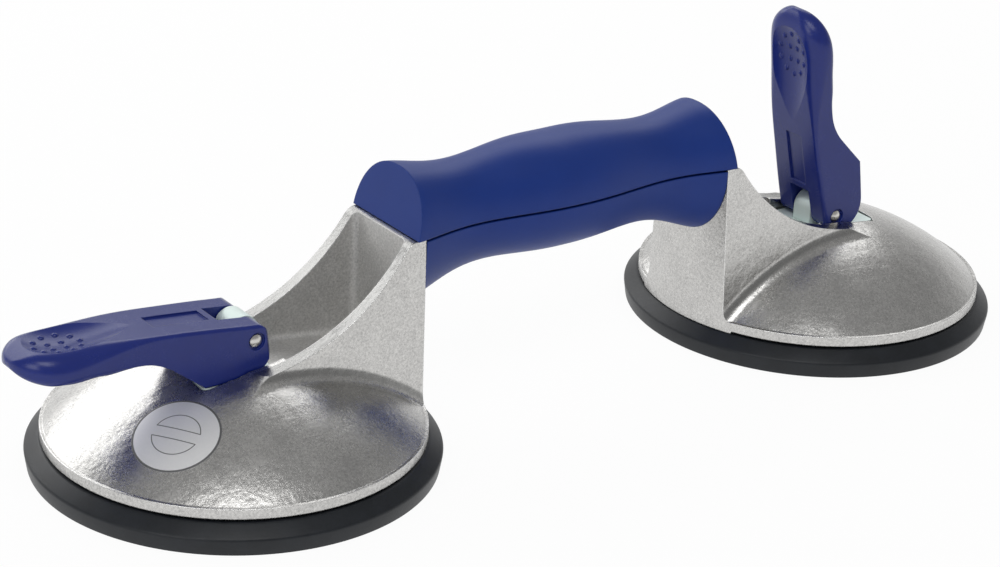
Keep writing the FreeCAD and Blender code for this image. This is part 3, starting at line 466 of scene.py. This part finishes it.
def dome_plate(name, at, radius, thickness):
    """Closed disc on the dome. Each ring has an arc radius from 0 to radius and lies on the sphere: the
    direction from its centre is cos(a) * outwards + sin(a) * (cos(t) * along + sin(t) * across)."""
    height = math.sqrt(DOME_RADIUS ** 2 - at @ at)
    outwards = np.array([at[0], at[1], height]) / DOME_RADIUS
    along = np.cross([0.0, 0.0, 1.0], outwards)
    along /= np.linalg.norm(along)
    across = np.cross(outwards, along)
    steps = np.linspace(0.0, 1.0, PLATE_RINGS + 1)[1:]
    lift = thickness * np.concatenate((np.ones(PLATE_RINGS), [0.5, -1.0], -np.ones(PLATE_RINGS)))
    reach = radius * np.concatenate((steps[:-1], [0.996, 1.0, 1.0], steps[::-1]))
    angle = reach[:, None] / DOME_RADIUS
    turns = np.linspace(0.0, 2 * np.pi, 96, endpoint=False)[None, :]
    direction = (np.cos(angle)[..., None] * outwards
                 + np.sin(angle)[..., None] * (np.cos(turns)[..., None] * along
                                               + np.sin(turns)[..., None] * across))
    points = DOME_CENTRE + direction * (DOME_RADIUS + lift)[:, None, None]
    poles = [DOME_CENTRE + outwards * (DOME_RADIUS + level) for level in (thickness, -thickness)]
    made = grid_mesh(name, points, closed_columns=True, poles=poles)
    flat = np.concatenate((np.stack((reach[:, None] * np.cos(turns), reach[:, None] * np.sin(turns)), -1)
                           .reshape(-1, 2), np.zeros((2, 2))))
    corner = np.zeros(len(made.data.loops), int)
    made.data.loops.foreach_get("vertex_index", corner)
    sheet = made.data.uv_layers.new(name="face")
    sheet.data.foreach_set("uv", (flat[corner] / radius * 0.5 + 0.5).ravel())
    return made


def printed_line(distance, half_width):
    """1 where a signed distance is within half_width, with a soft edge."""
    return 1.0 - (distance * distance).step((half_width * 0.6) ** 2, (half_width * 1.5) ** 2)


def foil_surface(shade):
    """Satin foil with hairline prints: a border, and the upper and lower caps of an inner circle."""
    across, up, _ = shade.node("ShaderNodeUVMap", {"uv_map": "face"}).parts()
    across, up = across * 2.0 - 1.0, up * 2.0 - 1.0
    out = (across * across + up * up) ** 0.5
    border = printed_line(out - 0.975, 0.022)
    circle = printed_line(out - 0.54, 0.010)
    height = (up * up) ** 0.5
    beyond_chord = height.step(0.12, 0.16)
    chord = printed_line(height - 0.14, 0.010) * (1.0 - out.step(0.53, 0.56))
    ink = (border + circle * beyond_chord + chord).step(0.0, 1.0)
    satin = shade.noise(0.7 * MILLIMETRE, 3.0)
    foil = satin.tint((0.85, 0.855, 0.86, 1.0), (0.93, 0.93, 0.93, 1.0))
    return shade.node("ShaderNodeBsdfPrincipled", None, {
        "Base Color": (ink * 0.92).tint(foil, PRINT_COLOUR), "Metallic": 0.75 - ink * 0.6,
        "Roughness": 0.42 + 0.12 * satin, "Normal": shade.relief(satin, 0.01 * MILLIMETRE)})


plate = dome_plate("front_round_plate", PLATE_AT, PLATE_RADIUS, PLATE_THICKNESS)
plate.data.materials.append(grown_material("satin_foil", foil_surface))
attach(plate, "frame")

# ---- wear plates, draw bars, inserts and nuts ----------------------------------------------------------
# Sheet and turned steel, zinc plated with a pale blue-green passivation. The wear plates lie in the
# castings' pockets, and each draw bar is screwed into its pad's insert and locked with a thin nut.


def zinc_surface(shade):
    """Pale passivated zinc: slightly uneven tone and a fine pickled grain."""
    patches = shade.noise(5 * MILLIMETRE, 3.0)
    grain = shade.noise(0.35 * MILLIMETRE, 2.0)
    colour = patches.tint((0.72, 0.84, 0.81, 1.0), (0.82, 0.92, 0.89, 1.0))
    return shade.node("ShaderNodeBsdfPrincipled", None, {
        "Base Color": colour, "Metallic": 0.25, "Roughness": 0.4 + 0.15 * grain,
        "Normal": shade.relief(grain, 0.02 * MILLIMETRE, shade.rounded(0.4 * MILLIMETRE))})


dressed(grown_material("pale_zinc", zinc_surface), "front_wear_plate", "rear_wear_plate",
        "front_draw_bar", "rear_draw_bar", "front_pad_insert", "rear_pad_insert")


def bright_surface(shade):
    """Bright turned steel with fine rings and a trace of handling marks."""
    marks = shade.noise(1.2 * MILLIMETRE, 4.0)
    fine = shade.noise(0.25 * MILLIMETRE, 2.0)
    return shade.node("ShaderNodeBsdfPrincipled", None, {
        "Base Color": marks.tint((0.56, 0.54, 0.51, 1.0), (0.74, 0.72, 0.69, 1.0)), "Metallic": 1.0,
        "Roughness": 0.2 + 0.14 * marks,
        "Normal": shade.relief(fine, 0.01 * MILLIMETRE, shade.rounded(0.3 * MILLIMETRE))})


bright_steel = grown_material("bright_steel", bright_surface)
dressed(bright_steel, "front_lock_nut", "rear_lock_nut", "front_pivot_pin", "rear_pivot_pin",
        "grip_screws")

# ---- guide bushes --------------------------------------------------------------------------------------
# Flanged bushes of natural acetal, pressed into the castings from below; the draw bars slide in them.


def acetal_surface(shade):
    """Milky plastic with faint turning clouds."""
    clouds = shade.noise(3 * MILLIMETRE, 3.0)
    return shade.node("ShaderNodeBsdfPrincipled", None, {
        "Base Color": clouds.tint((0.74, 0.73, 0.68, 1.0), (0.82, 0.81, 0.77, 1.0)),
        "Roughness": 0.32 + 0.1 * clouds, "Normal": shade.relief(clouds, 0.01 * MILLIMETRE)})


dressed(grown_material("natural_acetal", acetal_surface), "front_guide_bush", "rear_guide_bush")

# ---- suction pads --------------------------------------------------------------------------------------
# Moulded black rubber. The skirt and its sealing ring stay on the tile; the middle of each pad is
# vulcanised to its insert and is drawn up when the lever is locked.
PAD_RADIUS = 60.8 * MILLIMETRE
PAD_FOOT_RADIUS = 60.0 * MILLIMETRE
PAD_SIDE_HEIGHT = 5.0 * MILLIMETRE
PAD_SEAT_RADIUS = 56.6 * MILLIMETRE
PAD_SEAT_HEIGHT = 8.2 * MILLIMETRE
PAD_SEAT_WIDTH = 9.0 * MILLIMETRE
PAD_WALL = 5.0 * MILLIMETRE
PAD_RECESS = 1.0 * MILLIMETRE
PAD_LIP_RADIUS = 50.0 * MILLIMETRE
PAD_SPLIT_RADIUS = 40.0 * MILLIMETRE
PAD_MIDDLE_RADIUS = 20.5 * MILLIMETRE
PAD_LIFT = joints["front_pad_release"]["range_m"][1]


def rounded_outline(corners, radii, steps=5):
    """Polyline with each corner replaced by a quadratic curve that starts and ends radius from it."""
    corners = np.array(corners)
    before = np.roll(corners, 1, 0) - corners
    after = np.roll(corners, -1, 0) - corners
    radii = np.array(radii)[:, None]
    start = corners + before / np.linalg.norm(before, axis=1, keepdims=True) * radii
    end = corners + after / np.linalg.norm(after, axis=1, keepdims=True) * radii
    share = np.linspace(0.0, 1.0, steps)[None, :, None]
    curves = ((1 - share) ** 2 * start[:, None] + 2 * share * (1 - share) * corners[:, None]
              + share ** 2 * end[:, None])
    return curves.reshape(-1, 2)


def turned(name, outline, middle_x, columns=240, poles=None):
    """Solid of revolution about the upright line at middle_x: (r cos t, r sin t, z) for each (r, z)."""
    turns = np.linspace(0.0, 2 * np.pi, columns, endpoint=False)[None, :]
    radius, height = outline[:, 0][:, None], outline[:, 1][:, None]
    points = np.stack((middle_x + radius * np.cos(turns), radius * np.sin(turns),
                       height + 0.0 * turns), -1)
    return grid_mesh(name, points, closed_rows=poles is None, closed_columns=True, poles=poles)


def rubber_surface(shade):
    """Dull moulded rubber: fine grain, bloom in soft patches and a little dust."""
    bloom = shade.noise(9 * MILLIMETRE, 4.0, 0.6)
    grain = shade.noise(0.5 * MILLIMETRE, 3.0, 0.6)
    tone = (bloom * 0.7 + grain * 0.3).step(0.3, 0.7)
    return shade.node("ShaderNodeBsdfPrincipled", None, {
        "Base Color": tone.tint((0.006, 0.008, 0.011, 1.0), (0.013, 0.016, 0.021, 1.0)),
        "Roughness": 0.34 + 0.16 * grain, "Specular IOR Level": 0.38,
        "Normal": shade.relief(grain, 0.03 * MILLIMETRE)})


moulded_rubber = grown_material("moulded_rubber", rubber_surface)


def pad_pieces(prefix, middle_x, lift):
    """Skirt that stays on the tile and middle that moves, both from the pad's profile."""
    seat_inner = PAD_SEAT_RADIUS - PAD_SEAT_WIDTH
    inner_top = seat_inner - PAD_WALL / 2
    lip_start = PAD_LIP_RADIUS - PAD_WALL / 2
    under = PAD_RECESS + lift
    share_under = (lip_start - PAD_SPLIT_RADIUS) / (lip_start - PAD_MIDDLE_RADIUS)
    share_over = (inner_top - PAD_SPLIT_RADIUS) / (inner_top - PAD_MIDDLE_RADIUS)
    split_under = PAD_RECESS + share_under * lift
    split_over = PAD_RECESS + PAD_WALL + share_over * lift
    skirt = [(PAD_SPLIT_RADIUS, split_under), (lip_start, PAD_RECESS), (PAD_LIP_RADIUS, PAD_RECESS),
             (PAD_LIP_RADIUS + PAD_RECESS, 0.0), (PAD_FOOT_RADIUS, 0.0), (PAD_RADIUS, PAD_SIDE_HEIGHT),
             (PAD_SEAT_RADIUS, PAD_SEAT_HEIGHT), (seat_inner, PAD_SEAT_HEIGHT),
             (inner_top, PAD_RECESS + PAD_WALL), (PAD_SPLIT_RADIUS, split_over)]
    radii = np.array([0.1, 0.8, 0.3, 0.3, 0.35, 0.7, 0.5, 0.5, 0.5, 0.1]) * MILLIMETRE
    ring = turned(prefix + "_pad_skirt", rounded_outline(skirt, radii)[::-1], middle_x)
    first_ring = 0.3 * PAD_MIDDLE_RADIUS
    middle = np.array([(first_ring, under + PAD_WALL), (PAD_MIDDLE_RADIUS, under + PAD_WALL),
                       (PAD_SPLIT_RADIUS, split_over), (PAD_SPLIT_RADIUS, split_under),
                       (PAD_MIDDLE_RADIUS, under), (first_ring, under)])
    disc = turned(prefix + "_pad_middle", middle, middle_x, 120,
                  [(middle_x, 0.0, under + PAD_WALL), (middle_x, 0.0, under)])
    for piece in (ring, disc):
        piece.data.materials.append(moulded_rubber)
        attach(piece, "frame")
        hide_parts(prefix + "_suction_pad")
    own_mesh(disc)


pad_pieces("front", FRONT_X, PAD_LIFT)
pad_pieces("rear", -FRONT_X, 0.0)

# ---- release springs -----------------------------------------------------------------------------------
# Cold-wound springs of bright wire between each pad's insert and the casting, with flat end turns.
SPRING_RADIUS = 12.5 * MILLIMETRE
WIRE_RADIUS = 0.8 * MILLIMETRE
SPRING_TURNS = 3.5
FLAT_TURNS = 0.75  # at each end


def wound_spring(name, node, middle_x):
    """Wire swept along a coil: its height is a smooth rise, flat at both ends, over the angle."""
    low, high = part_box(node)
    share = np.linspace(0.0, 1.0, 260)
    eased = np.clip((share * SPRING_TURNS - FLAT_TURNS) / (SPRING_TURNS - 2 * FLAT_TURNS), 0.0, 1.0)
    angle = 2 * np.pi * SPRING_TURNS * share
    height = low.z + WIRE_RADIUS + (high.z - low.z - 2 * WIRE_RADIUS) * eased
    outwards = np.stack((np.cos(angle), np.sin(angle), 0 * angle), -1)
    middle = outwards * SPRING_RADIUS
    middle[:, 2] = height
    middle[:, 0] += middle_x
    around = np.linspace(0.0, 2 * np.pi, 12, endpoint=False)[None, :, None]
    points = (middle[:, None] + WIRE_RADIUS * (np.cos(around) * outwards[:, None]
                                               + np.sin(around) * np.array([0.0, 0.0, 1.0])))
    return grid_mesh(name, points, closed_columns=True, poles=[middle[0], middle[-1]])


for prefix, middle_x in (("front", FRONT_X), ("rear", -FRONT_X)):
    coil = wound_spring(prefix + "_spring_coil", prefix + "_release_spring", middle_x)
    coil.data.materials.append(bright_steel)
    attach(coil, "frame")
    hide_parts(prefix + "_release_spring")
    if prefix == "rear":
        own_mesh(coil)

# ---- levers --------------------------------------------------------------------------------------------
# Cam levers moulded in deep blue glass-filled nylon, semi-gloss from a finely spark-eroded mould.
# Each has a dished thumb end with raised pips, and a bare panel let into its top.


def lever_surface(shade):
    """Deep blue nylon with a fine mould texture, faint flow clouds and a painted highlight that makes the
    edges a little lighter.
    """
    clouds = shade.noise(8 * MILLIMETRE, 3.0)
    grain = shade.noise(0.22 * MILLIMETRE, 2.0)
    edge = edge_highlight_mask(shade, 0.5 * MILLIMETRE, 0.03, 0.3)
    tone = clouds.tint((0.008, 0.019, 0.170, 1.0), (0.011, 0.025, 0.200, 1.0))
    # Painted highlight: the edges are tinted a lighter blue.
    colour = (edge * 0.5).tint(tone, (0.035, 0.06, 0.28, 1.0))
    return shade.node("ShaderNodeBsdfPrincipled", None, {
        "Base Color": colour, "Roughness": 0.19 + 0.08 * clouds + 0.06 * grain,
        "Specular IOR Level": 0.42,
        "Normal": shade.relief(grain, 0.012 * MILLIMETRE, shade.rounded(0.35 * MILLIMETRE))})


deep_blue_nylon = grown_material("deep_blue_nylon", lever_surface)
dressed(deep_blue_nylon, "front_lever", "rear_lever")

FRONT_PIN = Vector(joints["front_lever_turn"]["pos_m"])
REAR_PIN = Vector(joints["rear_lever_turn"]["pos_m"])
FULL_TURN = math.radians(joints["front_lever_turn"]["range_deg"][1])
PIP_RADIUS = 1.05 * MILLIMETRE
PIP_HEIGHT = 0.55 * MILLIMETRE
PIP_CENTRE = -57.0 * MILLIMETRE
PIP_RAY_HEIGHT = 30.0 * MILLIMETRE
PIP_RINGS = ((10, 7.0, 5.6, 0.0), (4, 3.0, 2.4, 45.0))


def pip_places():
    """Places of the pips along and across the thumb end: points on two ellipses about its middle."""
    places = []
    for count, along, across, first in PIP_RINGS:
        turns = np.radians(first) + 2 * np.pi * np.arange(count) / count
        places.append(np.stack((PIP_CENTRE + along * MILLIMETRE * np.cos(turns),
                                across * MILLIMETRE * np.sin(turns)), -1))
    return np.concatenate(places)


def pip_points(places, lever_node, pin):
    """Rings of low domes that stand on the lever's dish, (pips, rings, columns, 3) about the pin.
    Height over the dish at radius r is the dome's height times 1 - (r / radius) squared."""
    lever = lever_node.data
    tree = BVHTree.FromPolygons([vertex.co for vertex in lever.vertices],
                                [face.vertices for face in lever.polygons])
    share = np.array([0.35, 0.7, 0.92, 1.0, 1.0, 0.5])
    rise = np.array([0.88, 0.5, 0.14, -0.1, -0.6, -0.6])
    turns = np.linspace(0.0, 2 * np.pi, 16, endpoint=False)
    grid = np.zeros((len(places), len(share), len(turns), 3))
    crowns = np.zeros((len(places), 2, 3))
    for number, (along, across) in enumerate(places):
        above = Vector((pin.x + along, across, pin.z + PIP_RAY_HEIGHT))
        hit, normal, _, _ = tree.ray_cast(above, Vector((0, 0, -1)))
        foot, up = np.array(hit - pin), np.array(normal)
        side = np.cross(up, [0.0, 1.0, 0.0])
        side /= np.linalg.norm(side)
        over = np.cross(up, side)
        reach = (share * PIP_RADIUS)[:, None, None]
        spokes = np.cos(turns)[None, :, None] * side + np.sin(turns)[None, :, None] * over
        grid[number] = (foot + reach * spokes
                        + (rise * PIP_HEIGHT)[:, None, None] * up)
        crowns[number] = foot + up * PIP_HEIGHT, foot - up * PIP_HEIGHT * 0.6
    return grid, crowns


def pips_mesh(name, grid, crowns):
    """One mesh of all the pips, each closed by a fan at its crown and one at its foot."""
    count, rings, columns = grid.shape[:3]
    stride = rings * columns + 2
    vertices = np.concatenate((grid.reshape(count, -1, 3), crowns), 1).reshape(-1, 3)
    index = np.arange(rings * columns).reshape(rings, columns)
    index = np.hstack((index, index[:, :1]))
    quads = np.stack((index[:-1, :-1], index[1:, :-1], index[1:, 1:], index[:-1, 1:]), -1).reshape(-1, 4)
    crown = np.full(columns, rings * columns)
    fans = np.concatenate((np.stack((crown, index[0, :-1], index[0, 1:]), -1),
                           np.stack((crown + 1, index[-1, 1:], index[-1, :-1]), -1)))
    shifts = np.arange(count) * stride
    faces = ((quads[None] + shifts[:, None, None]).reshape(-1, 4).tolist()
             + (fans[None] + shifts[:, None, None]).reshape(-1, 3).tolist())
    mesh = bpy.data.meshes.new(name)
    mesh.from_pydata(vertices, [], faces)
    mesh.shade_smooth()
    made = bpy.data.objects.new(name, mesh)
    scene.collection.objects.link(made)
    made.data.materials.append(deep_blue_nylon)
    return made


front_grid, front_crowns = pip_points(pip_places(), nodes["front_lever"], FRONT_PIN)
tilt = np.array(Matrix.Rotation(math.pi, 3, "Z") @ Matrix.Rotation(FULL_TURN, 3, "Y"))
for name, pin, body, turn in (("front_thumb_pips", FRONT_PIN, "front_cam_lever", np.eye(3)),
                              ("rear_thumb_pips", REAR_PIN, "rear_cam_lever", tilt)):
    pips = pips_mesh(name, front_grid @ turn.T + np.array(pin), front_crowns @ turn.T + np.array(pin))
    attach(pips, body)

# ---- grip ----------------------------------------------------------------------------------------------
# Two shells moulded in blue nylon with a satin, finely eroded face, screwed together round the bridge.
# The socket screws go in from below.


def grip_surface(shade):
    """Satin blue nylon: very fine even grain, faint clouds and a soft painted highlight that lightens the
    edges.
    """
    clouds = shade.noise(14 * MILLIMETRE, 3.0)
    grain = shade.noise(0.3 * MILLIMETRE, 2.0)
    edge = edge_highlight_mask(shade, 0.6 * MILLIMETRE, 0.03, 0.3)
    tone = clouds.tint((0.005, 0.030, 0.205, 1.0), (0.008, 0.038, 0.240, 1.0))
    # Painted highlight: the edges are tinted a lighter blue.
    colour = (edge * 0.5).tint(tone, (0.03, 0.07, 0.30, 1.0))
    return shade.node("ShaderNodeBsdfPrincipled", None, {
        "Base Color": colour, "Roughness": 0.40 + 0.08 * grain, "Specular IOR Level": 0.3,
        "Normal": shade.relief(grain, 0.02 * MILLIMETRE, shade.rounded(0.5 * MILLIMETRE))})


dressed(grown_material("satin_blue_nylon", grip_surface), "grip_upper_shell", "grip_lower_shell")
